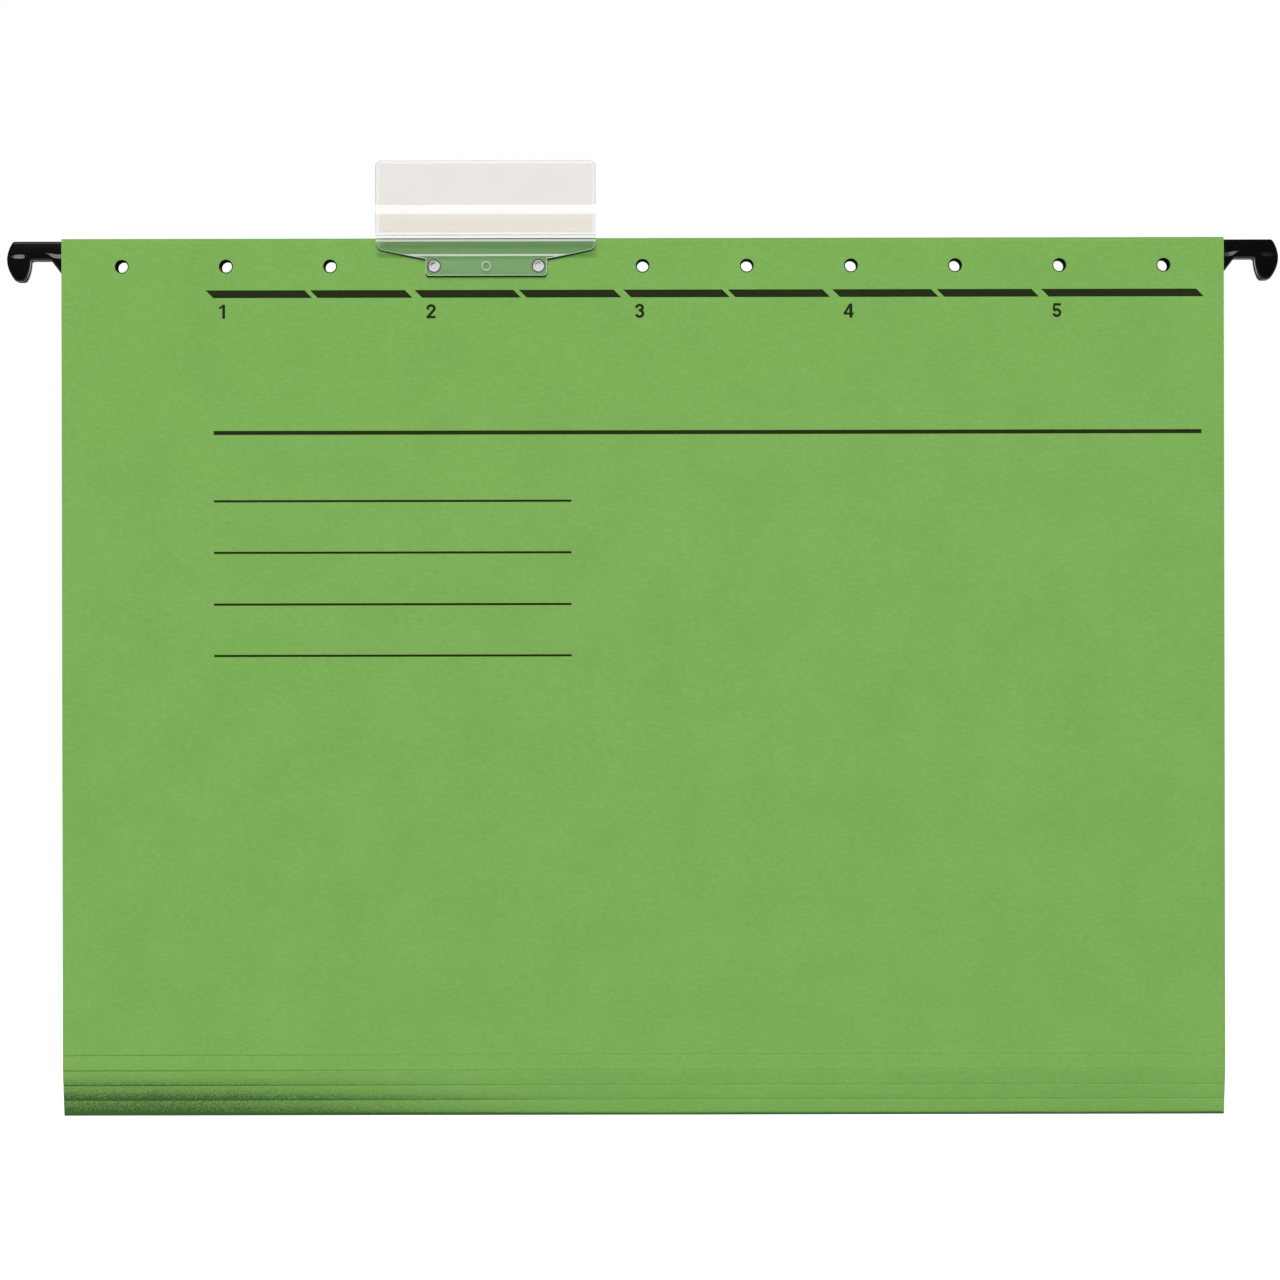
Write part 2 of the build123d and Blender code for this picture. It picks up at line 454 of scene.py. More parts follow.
def lift_sheet(bm, along, inner):
    """Moves flat card so that its inner face at this distance along the sheet meets a crease."""
    bmesh.ops.translate(bm, verts=bm.verts, vec=(0, inner.y - card_thick / 2, inner.z - along))
    return bm


def corner_sheet(high):
    """Card from the middle of the base over its corner score and up the leaf."""
    bm = scored_sheet(lower_seam, high)
    turn_below(bm, base_length)
    return lift_sheet(bm, base_length, joint_at["front_corner"])


front_corner_card = card_piece(corner_sheet(upper_seam), "front_corner_card", turned=False)
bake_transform(front_corner_card)
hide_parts("front_base")

back_corner_card = card_piece(corner_sheet(top_score + leaf_overlap), "back_corner_card", turned=True)
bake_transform(back_corner_card)
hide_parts("back_base")

top_sheet = scored_sheet(upper_seam, top_score + leaf_overlap)
lift_sheet(top_sheet, base_length, joint_at["front_corner"])
front_score_card = card_piece(top_sheet, "front_score_card", turned=False)
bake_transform(front_score_card)
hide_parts("front_score_strip")

bottom = joint_at["base_fold"]
fold_sheet = lift_sheet(scored_sheet(0, lower_seam), 0, bottom)
bmesh.ops.rotate(
    fold_sheet, verts=fold_sheet.verts, cent=bottom, matrix=Matrix.Rotation(base_lean, 3, "X")
)
back_half = set(verts_in(bmesh.ops.duplicate(fold_sheet, geom=all_of(fold_sheet))["geom"]))
front_half = {v for v in fold_sheet.verts if v not in back_half}
fold_row = min(v.co.z for v in front_half) + micron
fold_edges = [
    edge
    for edge in fold_sheet.edges
    if all(v.co.z < fold_row and v in front_half for v in edge.verts)
]
bmesh.ops.rotate(
    fold_sheet, verts=list(back_half), cent=bottom, matrix=Matrix.Rotation(math.pi, 3, "Z")
)
bmesh.ops.spin(
    fold_sheet,
    geom=with_ends(fold_edges),
    cent=bottom,
    axis=(1, 0, 0),
    angle=math.pi - 2 * base_lean,
    steps=bottom_steps,
)
bmesh.ops.remove_doubles(fold_sheet, verts=fold_sheet.verts, dist=micron)
bottom_fold_card = card_piece(fold_sheet, "bottom_fold_card", turned=False)
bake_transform(bottom_fold_card)

# Print on the front: slanted bars and numerals that mark the places of the tab, and lines to
# write on. It is one thin coat of black ink, printed before the card is folded.
ink_thick = 0.02 * mm
bar_low = 223.65 * mm
bar_high = 225.75 * mm
bar_first = -119.55 * mm
bar_step = 28.57 * mm
bar_slant = 1.0
bar_lengths = [27.0 * mm, 25.9 * mm] * 4 + [42.4 * mm]
line_left = -117.4 * mm
long_line_right = 152.8 * mm
long_line_thick = 1.1 * mm
long_line_z = 186.75 * mm
short_line_right = -19.6 * mm
short_line_thick = 0.6 * mm
short_line_z = [168.05 * mm, 153.95 * mm, 139.8 * mm, 125.75 * mm]
numeral_first = -116.2 * mm
numeral_step = 57.05 * mm
numeral_low = 218.0 * mm
stroke_layer = 0.004 * mm
bow_steps = 14
ink_thin = (0.0195, 0.0275, 0.0055, 1)
ink_full = (0.0135, 0.0195, 0.0035, 1)


def ink_finish():
    """Black offset ink that sinks into the card a little unevenly."""
    material, paint = new_finish("printing_ink")
    specks = paint.grain(2600, 2.0)
    clouds = paint.grain(240, 2.0)
    cover = (0.7 * specks + 0.3 * clouds).ramp(0.3, 0.7)
    shader = paint.node(
        "ShaderNodeBsdfPrincipled",
        {
            "Base Color": cover.tint(ink_thin, ink_full),
            "Roughness": 0.62 - 0.14 * cover,
            "Specular IOR Level": 0.06,
        },
    )
    paint.node("ShaderNodeOutputMaterial", {"Surface": shader})
    return material


def thicken(bm, way):
    """Extrudes every face by way, which makes flat shapes solid."""
    made = bmesh.ops.extrude_face_region(bm, geom=bm.faces[:])["geom"]
    bmesh.ops.translate(bm, verts=verts_in(made), vec=way)
    bmesh.ops.recalc_face_normals(bm, faces=bm.faces)


def ink_patch(bm, left, right, low, high, slant=0.0):
    """Adds a flat patch of ink to the front face. A slant leans its ends to the left at the top."""
    made = bmesh.ops.create_grid(bm, x_segments=1, y_segments=1, size=0.5)["verts"]
    bmesh.ops.scale(bm, verts=made, vec=(right - left, high - low, 1))
    for v in made:
        v.co.x -= slant * v.co.y
    bmesh.ops.rotate(bm, verts=made, matrix=Matrix.Rotation(math.pi / 2, 3, "X"))
    bmesh.ops.translate(bm, verts=made, vec=((left + right) / 2, front_face, (low + high) / 2))


def ink_line(bm, right, z, thick):
    """Adds a line to write on at this height."""
    ink_patch(bm, line_left, right, z - thick / 2, z + thick / 2)


def ink_piece(bm, name):
    """Gives patches of ink their thickness and lets them ride on the front leaf."""
    thicken(bm, (0, -ink_thick, 0))
    piece = new_piece(bm, name, ink)
    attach(piece, "front_leaf")


def bow(x, z, half_width, half_height, start, end):
    """Points along an upright ellipse from one angle to another, in degrees from the right."""
    shares = [step / bow_steps for step in range(bow_steps + 1)]
    turns = [math.radians(start + (end - start) * share) for share in shares]
    return [(x + half_width * math.cos(turn), z + half_height * math.sin(turn)) for turn in turns]


def open_line(bm, points):
    """New edges through these points."""
    corners = [bm.verts.new(point) for point in points]
    return [bm.edges.new(pair) for pair in zip(corners, corners[1:])]


def ink_stroke(bm, left, depth, thick, points):
    """Adds a stroke of a numeral along points in millimetres from its lower left corner."""
    path = [Vector((left + x * mm, numeral_low + z * mm)) for x, z in points]
    ways = [(b - a).normalized() for a, b in zip(path, path[1:])]
    one_side = []
    other_side = []
    for point, before, after in zip(path, ways[:1] + ways, ways + ways[-1:]):
        along = (before + after).normalized()
        aside = Vector((-along.y, along.x)) * thick * mm / 2 / along.dot(after)
        one_side.append(Vector((point.x - aside.x, depth, point.y - aside.y)))
        other_side.append(Vector((point.x + aside.x, depth, point.y + aside.y)))
    bmesh.ops.bridge_loops(bm, edges=open_line(bm, one_side) + open_line(bm, other_side))


ink = ink_finish()
bars = bmesh.new()
for count, length in enumerate(bar_lengths):
    start = bar_first + count * bar_step + (bar_high - bar_low) / 2
    ink_patch(bars, start, start + length, bar_low, bar_high, bar_slant)
ink_piece(bars, "position_bars")

lines = bmesh.new()
ink_line(lines, long_line_right, long_line_z, long_line_thick)
for z in short_line_z:
    ink_line(lines, short_line_right, z, short_line_thick)
ink_piece(lines, "writing_lines")

# The strokes of each numeral: a thickness and the points along the middle, in millimetres. Each
# stroke starts a little in front of the one before, so that no two faces coincide.
numeral_strokes = [
    [(0.76, [(1.58, 0), (1.58, 3.85)]), (0.5, [(0.3, 2.93), (0.8, 3.0), (1.38, 3.62)])],
    [
        (0.72, [(0.38, 2.4), *bow(1.28, 2.74, 0.9, 0.8, 180, -38), (0.45, 0.45)]),
        (0.68, [(0.04, 0.34), (2.52, 0.34)]),
    ],
    [
        (0.7, bow(1.26, 2.85, 0.84, 0.69, 192, -80)),
        (0.58, [(0.95, 2.08), (1.4, 2.08)]),
        (0.72, bow(1.26, 1.2, 0.92, 0.84, 80, -168)),
    ],
    [
        (0.82, [(2.0, 0), (2.0, 3.85)]),
        (0.6, [(0, 1.1), (2.75, 1.1)]),
        (0.62, [(0.27, 1.12), (1.82, 3.62)]),
    ],
    [
        (0.68, [(0.36, 3.5), (2.42, 3.5)]),
        (0.58, [(0.62, 3.6), (0.44, 1.9)]),
        (0.72, bow(1.27, 1.24, 0.9, 0.88, 148, -166)),
    ],
]
numerals = bmesh.new()
for count, strokes in enumerate(numeral_strokes):
    for layer, (thick, points) in enumerate(strokes):
        depth = front_face - layer * stroke_layer
        ink_stroke(numerals, numeral_first + count * numeral_step, depth, thick, points)
ink_piece(numerals, "position_numerals")

# Glue lines: hot-melt glue between each leaf and its flap, 310 mm long, 5 mm high and as thin
# as paper. Only its edge shows, between the layers at the sides.
glue_dark = (0.66, 0.55, 0.32, 1)
glue_light = (0.8, 0.72, 0.5, 1)


def glue_finish():
    """Set glue, cream and slightly cloudy."""
    material, paint = new_finish("set_glue")
    clouds = paint.grain(420, 3.0)
    shader = paint.node(
        "ShaderNodeBsdfPrincipled",
        {
            "Base Color": clouds.ramp(0.3, 0.7).tint(glue_dark, glue_light),
            "Roughness": 0.35 + 0.25 * clouds,
        },
    )
    paint.node("ShaderNodeOutputMaterial", {"Surface": shader})
    return material


glue = glue_finish()
for node in ("front_flap_glue", "back_flap_glue"):
    frame["nodes"][node].data.materials.clear()
    frame["nodes"][node].data.materials.append(glue)

# Hook rails: glossy black moulded bars, 348 mm long and 2 mm thick, one in each top fold. The
# hook at each end hangs on a cabinet rail. The upper part of the outer face stands back behind
# a sloping step, which catches the light.
rail_edge = 0.5 * mm
rail_edge_steps = 12
rail_hole_r = 1.6 * mm
hook_corner = 0.5 * mm
hook_corner_steps = 8
corner_least = math.radians(20)
arm_height = 5.2 * mm
step_depth = 0.17 * mm
step_high = 3.58 * mm
step_low = 4.6 * mm
tip_zone = 0.8 * mm
notch_outer = 6.45 * mm
notch_inner = 12.1 * mm
arm_root = 18.8 * mm
curve_points = 14
satin_high = 3.0 * mm
satin_low = 4.8 * mm
flow_height = 0.03 * mm
rail_dark = (0.0022, 0.0017, 0.0019, 1)
rail_light = (0.0042, 0.0034, 0.0037, 1)
bore_dark = (0.002, 0.0016, 0.0017, 1)
bore_light = (0.006, 0.005, 0.005, 1)

# Shares of a face's normal along an axis, which tell the way it faces
face_on = 0.5
side_on = 0.3
tilted_up = 0.05


def rail_finish(name, roughness):
    """Glossy black plastic with faint flow marks from the mould."""
    material, paint = new_finish(name)
    flow = paint.grain(90, 3.0, (0.25, 1.0, 1.0))
    haze = paint.grain(1400, 2.0)
    raised = paint.node(
        "ShaderNodeBump", {"Strength": 0.08, "Distance": flow_height, "Height": flow}
    )
    shader = paint.node(
        "ShaderNodeBsdfPrincipled",
        {
            "Base Color": flow.ramp(0.3, 0.7).tint(rail_dark, rail_light),
            "Roughness": roughness + 0.06 * haze,
            "Specular IOR Level": 0.5,
            "Normal": raised,
        },
    )
    paint.node("ShaderNodeOutputMaterial", {"Surface": shader})
    return material


def bore_finish():
    """The same plastic inside the holes, left dull by the pins of the mould."""
    material, paint = new_finish("dull_black_plastic")
    haze = paint.grain(1400, 2.0)
    shader = paint.node(
        "ShaderNodeBsdfPrincipled",
        {
            "Base Color": haze.tint(bore_dark, bore_light),
            "Roughness": 0.7 + 0.2 * haze,
            "Specular IOR Level": 0.04,
        },
    )
    paint.node("ShaderNodeOutputMaterial", {"Surface": shader})
    return material


def carve(piece, tool, operation="DIFFERENCE"):
    """Cuts the tool's shape out of a piece, joins it on or keeps what they share."""
    cut = piece.modifiers.new("cut", "BOOLEAN")
    cut.object = tool
    cut.operation = operation
    cut.solver = "MANIFOLD"
    set_form(piece)
    bpy.data.objects.remove(tool)


def outline(bm, points):
    """A closed loop of edges through points in the XZ plane."""
    corners = [bm.verts.new((x, 0, z)) for x, z in points]
    return [bm.edges.new((a, b)) for a, b in zip(corners, corners[1:] + corners[:1])]


def pin_row(radius, places, low_y, high_y, finish):
    """Round pins along Y at these X places in the row of holes, as one piece to carve with."""
    bm = bmesh.new()
    for x in places:
        made = bmesh.ops.create_cone(
            bm, cap_ends=True, segments=hole_sides, radius1=radius, radius2=radius, depth=high_y - low_y
        )["verts"]
        bmesh.ops.rotate(bm, verts=made, matrix=Matrix.Rotation(math.pi / 2, 3, "X"))
        bmesh.ops.translate(bm, verts=made, vec=(x, (low_y + high_y) / 2, hole_z))
    return new_piece(bm, "pin_tool", finish)


def curve(*points):
    """Points along a Bezier curve from its first point to its last, in mm from tip and top."""
    handles = [Vector((*point, 0)) for point in points]
    return [p.to_2d() * mm for p in interpolate_bezier(*handles, curve_points)]


def cut_across(bm, place, way):
    """Adds a line of edges round the whole piece where this plane meets it."""
    bmesh.ops.bisect_plane(bm, geom=all_of(bm), plane_co=place, plane_no=way, dist=micron / 10)


def hook_half(height):
    """The outline of half a rail, as distances in from its tip and down from its top."""
    # The inside of the hook skips its second point, to leave room for the rounded foot
    inside = curve((4.65, 11), (5.7, 10), (6.3, 7.6), (6.4, 5.9))
    return [
        *curve((1.7, 0), (-0.69, 3.3), (-0.69, 7.4), (2.5, 11)),
        inside[0],
        *inside[2:],
        Vector((notch_outer, arm_height)),
        Vector((notch_inner, arm_height)),
        Vector((arm_root, height)),
    ]


def edge_in(half, below):
    """How far in from the tip the outline lies at this distance below the top."""
    a, b = next(pair for pair in zip(half, half[1:]) if pair[0].y <= below <= pair[1].y)
    return a.x + (b.x - a.x) * (below - a.y) / (b.y - a.y)


# The step along a hook: the distance in from its tip, then its upper and its lower line below
# the top of the rail, in millimetres
hook_step = [
    (0.5, 4.28, 4.34),
    (0.9, 4.12, 4.42),
    (1.5, 3.9, 4.54),
    (2.2, 3.74, 4.63),
    (3.0, 3.64, 4.69),
    (3.8, 3.6, 4.72),
    (4.6, 3.62, 4.66),
    (5.2, 3.6, 4.3),
    (5.8, 3.42, 3.85),
    (6.4, 3.24, 3.52),
    (7.2, 3.12, 3.36),
    (10.4, 3.1, 3.34),
    (11.3, 3.14, 3.6),
    (12.1, 3.3, 4.1),
    (12.9, 3.46, 4.52),
    (14.0, 3.58, 4.68),
]


def press_step(bm, half, low, high, outward):
    """Sets the upper part of a rail's outer face back behind its sloping step."""
    tip, top = high.x, high.z
    for below in (step_high, step_low):
        cut_across(bm, (0, 0, top - below), (0, 0, 1))
    for inward, _, _ in hook_step:
        for side in (-1, 1):
            cut_across(bm, (side * (tip - inward * mm), 0, 0), (1, 0, 0))
    outer_half = [v for v in bm.verts if (v.co.y - (low.y + high.y) / 2) * outward > 0.1 * mm]
    for v in outer_half:
        if top - v.co.z <= step_high + micron:
            v.co.y -= outward * step_depth
    for v in outer_half:
        below = top - v.co.z
        inward = tip - abs(v.co.x)
        lines = [step for step in hook_step if inward < step[0] * mm + micron] or hook_step[-1:]
        _, upper, lower = lines[0]
        if abs(below - step_high) < micron:
            line = upper * mm
        elif abs(below - step_low) < micron:
            line = lower * mm
        else:
            continue
        v.co.z = top - line
        if inward < tip_zone:
            v.co.x += math.copysign(edge_in(half, below) - edge_in(half, line), v.co.x)


def hook_rail(name, body, node):
    """A rail as large as its CAD node, with the step on its outer face."""
    low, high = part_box(node)
    outward = -1 if body == "front_leaf" else 1
    half = hook_half(high.z - low.z)
    right = [(high.x - p.x, high.z - p.y) for p in half]
    left = [(-x, z) for x, z in reversed(right)]
    bm = bmesh.new()
    bmesh.ops.contextual_create(bm, geom=outline(bm, right + left))
    thicken(bm, (0, high.y - low.y, 0))
    bmesh.ops.translate(bm, verts=bm.verts, vec=(0, low.y, 0))
    through = [e for e in bm.edges if abs(e.verts[0].co.y - e.verts[1].co.y) > micron]
    corners = [e for e in through if e.calc_face_angle() > corner_least]
    round_off(bm, corners, hook_corner, hook_corner_steps)
    rims = [e for e in bm.edges if abs(e.verts[0].co.y - e.verts[1].co.y) < micron]
    round_off(bm, rims, rail_edge, rail_edge_steps)
    press_step(bm, half, low, high, outward)
    piece = new_piece(bm, name, rail)
    places = [(count - (hole_count - 1) / 2) * hole_pitch for count in range(hole_count)]
    carve(piece, pin_row(rail_hole_r, places, low.y - mm, high.y + mm, rail))
    set_form(piece, smooth_below=8)
    piece.data.materials.append(bore)
    piece.data.materials.append(satin)
    for face in piece.data.polygons:
        facing, at = face.normal, face.center
        from_hole = min(math.hypot(at.x - x, at.z - hole_z) for x in places)
        below = high.z - at.z
        if from_hole < rail_hole_r and abs(facing.y) < side_on:
            face.material_index = piece.data.materials.find(bore.name)
        elif satin_high < below < satin_low and facing.z > tilted_up and facing.y * outward > face_on:
            face.material_index = piece.data.materials.find(satin.name)
    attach(piece, body)
    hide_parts(node)


rail = rail_finish("black_moulded_plastic", roughness=0.06)
satin = rail_finish("satin_black_plastic", roughness=0.12)
bore = bore_finish()
hook_rail("front_hook_rail", "front_leaf", "front_rail")
hook_rail("back_hook_rail", "back_leaf", "back_rail")

# Index tab: clear moulded plastic, 60 mm wide, with walls 0.4 to 0.7 mm thick. A plate with two
# hollow pins plugs into the holes, a web slopes out and up from it, and the window's front wall
# steps forward at half height. Its outline has thin moulded edges. Pale whitened plastic at its
# bends and edges is partly a painted highlight, and grey and dark tints paint shade along its
# edges, in its pins and on the label below the step.
tab_low, tab_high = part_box("tab_holder")
tab_x = (tab_low.x + tab_high.x) / 2
tab_half = (tab_high.x - tab_low.x) / 2
tab_top = tab_high.z
tab_wall = 0.7 * mm
tab_bend = 0.5 * mm
tab_bend_steps = 5
tab_edge = 0.1 * mm
tab_corner = 1.5 * mm
corner_steps = 8
plate_half = 16.6 * mm
plate_back = front_face - 0.1 * mm
plate_front = plate_back - tab_wall
plate_low = tab_low.z
plate_corner = 1.0 * mm
pane_back = plate_back - 3.0 * mm
pane_front = pane_back - tab_wall
web_low = card_top - 4.6 * mm
web_high = card_top - 1.0 * mm
web_mitre = 0.127 * mm
knee_z = web_low - web_mitre
window_low = card_top + 0.3 * mm
slot_front = pane_front - 0.5 * mm
front_upper = slot_front - 0.42 * mm
front_lower = slot_front - 0.74 * mm
step_top = 248.6 * mm
step_bottom = 245.4 * mm
step_rows = 7
shoulder_high = card_top - 3.2 * mm
shoulder_low = card_top - 5.8 * mm
shoulder_corner = 2.0 * mm
pin_r = 1.5 * mm
pin_bore_r = 0.9 * mm
pin_end = tab_high.y
pin_tip = 0.5 * mm
gate_r = 1.25 * mm
gate_rim = 0.2 * mm
gate_height = 0.15 * mm
tool_depth = 20 * mm
rim_width = 0.2 * mm
rim_height = 0.05 * mm
foot_drop = 0.4 * mm
foot_depth = 0.55 * mm
edge_gap = 0.02 * mm
plastic_ior = 1.47
window_shade = (0.985, 0.988, 0.985, 1)
lower_shade = (0.96, 0.935, 0.875, 1)
web_shade = (0.735, 0.845, 0.87, 1)
plate_shade = (0.79, 0.87, 0.87, 1)
foot_painted_shadow = (0.43, 0.53, 0.36, 1)
line_shade = (0.885, 0.885, 0.875, 1)
# Pale colours of whitened plastic, which are also painted highlight
pale_highlight_dark = (0.8, 0.84, 0.8, 1)
pale_highlight_light = (0.9, 0.93, 0.9, 1)
edge_dark = (0.01, 0.016, 0.008, 1)
edge_light = (0.016, 0.024, 0.012, 1)

# Shares of a face's normal along an axis, which tell the part of the tab it belongs to
window_front = 0.2
crest_up = 0.3
rounding_aside = 0.25
pane_flat = 0.9
bend_down = 0.12
web_flat = 0.985
side_aside = 0.2


def clear_finish(name, shade, dim=1.0, milk=0.0):
    """Clear plastic with a faint haze, which dims the lamps that shine through it."""
    material, paint = new_finish(name)
    haze = paint.grain(700, 2.0)
    hazy = (0.98 * dim, 0.985 * dim, 0.98 * dim, 1)
    clearest = (0.995 * dim, 0.998 * dim, 0.995 * dim, 1)
    shader = paint.node(
        "ShaderNodeBsdfPrincipled",
        {
            "Base Color": haze.ramp(0.3, 0.7).tint(hazy, clearest),
            "Roughness": 0.02 + 0.03 * haze,
            "IOR": plastic_ior,
            "Transmission Weight": 1.0 - milk,
        },
    )
    through = paint.node("ShaderNodeBsdfTransparent", {"Color": shade})
    for ray in ("Is Diffuse Ray", "Is Shadow Ray"):
        crossing = paint.node("ShaderNodeLightPath", {}, ray)
        shader = paint.node("ShaderNodeMixShader", {0: crossing, 1: shader, 2: through})
    paint.node("ShaderNodeOutputMaterial", {"Surface": shader})
    return material


def whitening_and_highlight_finish(name, clearness):
    """Plastic whitened where it is bent, cut or rough from the mould; its pale colour is also a painted
    highlight for the bright lines along the tab's bends and edges.
    """
    material, paint = new_finish(name)
    haze = paint.grain(1600, 2.0)
    shader = paint.node(
        "ShaderNodeBsdfPrincipled",
        {
            "Base Color": haze.tint(pale_highlight_dark, pale_highlight_light),
            "Roughness": 0.25 + 0.15 * haze,
            "IOR": plastic_ior,
            "Transmission Weight": clearness,
        },
    )
    paint.node("ShaderNodeOutputMaterial", {"Surface": shader})
    return material


def edge_shade_finish(name, shade, gloss_share):
    """A grey or dark see-through tint with a little gloss, which paints the shade along a thin edge of
    the clear plastic.
    """
    material, paint = new_finish(name)
    haze = paint.grain(1600, 2.0)
    gloss = paint.node(
        "ShaderNodeBsdfPrincipled",
        {
            "Base Color": haze.tint(edge_dark, edge_light),
            "Roughness": 0.2 + 0.1 * haze,
            "IOR": plastic_ior,
        },
    )
    through = paint.node("ShaderNodeBsdfTransparent", {"Color": shade})
    shader = paint.node("ShaderNodeMixShader", {0: gloss_share, 1: through, 2: gloss})
    paint.node("ShaderNodeOutputMaterial", {"Surface": shader})
    return material


def section_loop(bm, points):
    """A closed loop of edges through points in the YZ plane at the tab's left end."""
    corners = [bm.verts.new((tab_x - tab_half, y, z)) for y, z in points]
    return [bm.edges.new((a, b)) for a, b in zip(corners, corners[1:] + corners[:1])]


clear = clear_finish("clear_moulded_plastic", window_shade)
step_points = []
for row in range(step_rows + 1):
    share = row / step_rows
    forward = (front_lower - front_upper) * (1 - (1 - share) ** 2)
    step_points.append((front_upper + forward, step_top + (step_bottom - step_top) * share))
bm = bmesh.new()
outer = section_loop(
    bm,
    [
        (plate_back, plate_low),
        (plate_back, web_low + web_mitre),
        (pane_back, web_high + web_mitre),
        (pane_back, tab_top),
        (front_upper, tab_top),
        *step_points,
        (front_lower, window_low),
        (pane_front, window_low),
        (pane_front, web_high - web_mitre),
        (plate_front, knee_z),
        (plate_front, plate_low),
    ],
)
inner = section_loop(
    bm,
    [
        (pane_front, window_low + tab_wall),
        (slot_front, window_low + tab_wall),
        (slot_front, tab_top - tab_wall),
        (pane_front, tab_top - tab_wall),
    ],
)
bmesh.ops.triangle_fill(bm, use_beauty=True, edges=outer + inner)
thicken(bm, (2 * tab_half, 0, 0))
bends = [
    *edges_at(bm, y=plate_back, z=web_low + web_mitre),
    *edges_at(bm, y=plate_front, z=knee_z),
    *edges_at(bm, y=pane_back, z=web_high + web_mitre),
    *edges_at(bm, y=pane_front, z=web_high - web_mitre),
]
round_off(bm, bends, tab_bend, tab_bend_steps)
tab = new_piece(bm, "index_tab", clear)

front_right = [
    (tab_half, tab_top),
    (tab_half, shoulder_high),
    (plate_half, shoulder_low),
    (plate_half, plate_low),
]
front_left = [(-x, z) for x, z in reversed(front_right)]
bm = bmesh.new()
front_view = outline(bm, [(tab_x + x, z) for x, z in front_right + front_left])
bmesh.ops.contextual_create(bm, geom=front_view)
thicken(bm, (0, tool_depth, 0))
bmesh.ops.translate(bm, verts=bm.verts, vec=(0, -tool_depth / 2, 0))
shoulder_turn = math.atan2(tab_half - plate_half, shoulder_high - shoulder_low)
shoulder_back = shoulder_corner * math.tan(shoulder_turn / 2)
for half, z, offset in (
    (tab_half, tab_top, tab_corner),
    (tab_half, shoulder_high, shoulder_back),
    (plate_half, plate_low, plate_corner),
):
    corners = edges_at(bm, x=tab_x - half, z=z) + edges_at(bm, x=tab_x + half, z=z)
    round_off(bm, corners, offset, corner_steps)
carve(tab, new_piece(bm, "front_tool", clear), "INTERSECT")

pins = [tab_x - hole_pitch / 2, tab_x + hole_pitch / 2]
plate_middle = (plate_back + plate_front) / 2
carve(tab, pin_row(pin_r, pins, plate_middle, pin_end, clear), "UNION")
carve(tab, pin_row(pin_bore_r, pins, plate_front - mm, pin_end - pin_tip, clear))
gate_front = plate_front - gate_height
carve(tab, pin_row(gate_r, [tab_x], gate_front, plate_middle, clear), "UNION")
carve(tab, pin_row(gate_r - gate_rim, [tab_x], gate_front - mm, plate_front, clear))

edge_round = tab.modifiers.new("edges", "BEVEL")
edge_round.width = tab_edge
edge_round.segments = 2
edge_round.limit_method = "ANGLE"
edge_round.angle_limit = math.radians(40)
set_form(tab, smooth_below=35)
flat_walls = tab.modifiers.new("flat_walls", "WEIGHTED_NORMAL")
flat_walls.weight = 100
flat_walls.keep_sharp = True
apply_form(tab)

clear_web = clear_finish("clear_plastic_web", web_shade)
whitening_and_highlight = whitening_and_highlight_finish("whitened_plastic_and_highlight", clearness=0.3)
clear_plate = clear_finish("clear_plastic_plate", plate_shade, milk=0.05)
clear_pin_shaded = clear_finish("clear_plastic_pin_shaded", web_shade, dim=0.5)
clear_lower_shaded = clear_finish("clear_plastic_lower_pane_shaded", lower_shade)
clear_rounding_shade = clear_finish("clear_plastic_rounding_shade", window_shade, dim=0.7)
for finish in (clear_web, whitening_and_highlight, clear_plate, clear_pin_shaded, clear_lower_shaded, clear_rounding_shade):
    tab.data.materials.append(finish)
web_way = Vector((0, web_low - web_high, pane_front - plate_front)).normalized()


def window_finish(facing, at):
    """The finish of a face of the window, by the way it faces and its place."""
    # The top fold's front is whitened: partly whitening, partly a painted highlight along the top
    if facing.y < -window_front and facing.z > crest_up:
        return whitening_and_highlight
    # The window's rounded sides are dimmed, painted shade for the grey line along its edges
    if facing.y < -window_front and abs(facing.x) > rounding_aside:
        return clear_rounding_shade
    # The lower front pane is tinted darker and warmer: partly its thicker wall, partly painted shade on
    # the label below the step
    if facing.y < -pane_flat and at.z < step_bottom and at.y < front_lower + tab_edge:
        return clear_lower_shaded
    return clear


def lower_finish(facing, at):
    """The finish of a face of the web, the plate or a pin, by the way it faces and its place."""
    from_gate = math.hypot(at.x - tab_x, at.z - hole_z)
    from_pin = min(math.hypot(at.x - x, at.z - hole_z) for x in pins)
    on_gate = from_gate < gate_r and at.y < plate_front - tab_edge / 4
    on_bend = facing.y < -side_on and facing.z < -bend_down and facing.dot(web_way) < web_flat
    on_side = facing.y < -side_on and abs(facing.x) > side_aside and at.z < shoulder_low
    on_edge = abs(facing.y) < side_on and from_gate > 1.5 * gate_r and from_pin > 1.2 * pin_r
    # Whitened plastic at the gate ring, the bends, the sides and the edges, which also paints the bright
    # highlight lines there
    if on_gate or on_bend or on_side or on_edge:
        return whitening_and_highlight
    # The pins' ends are dimmed to grey, painted shade where the clear pins look grey
    if at.y > pin_end - pin_tip / 2 and from_pin < pin_r:
        return clear_pin_shaded
    return clear_plate if at.z < knee_z else clear_web


for face in tab.data.polygons:
    pick = window_finish if face.center.z > window_low else lower_finish
    face.material_index = tab.data.materials.find(pick(face.normal, face.center).name)
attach(tab, "tab")
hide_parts("tab_holder")


def mirrored(points):
    """The same line on the tab's other half."""
    return [(-x, z) for x, z in reversed(points)]


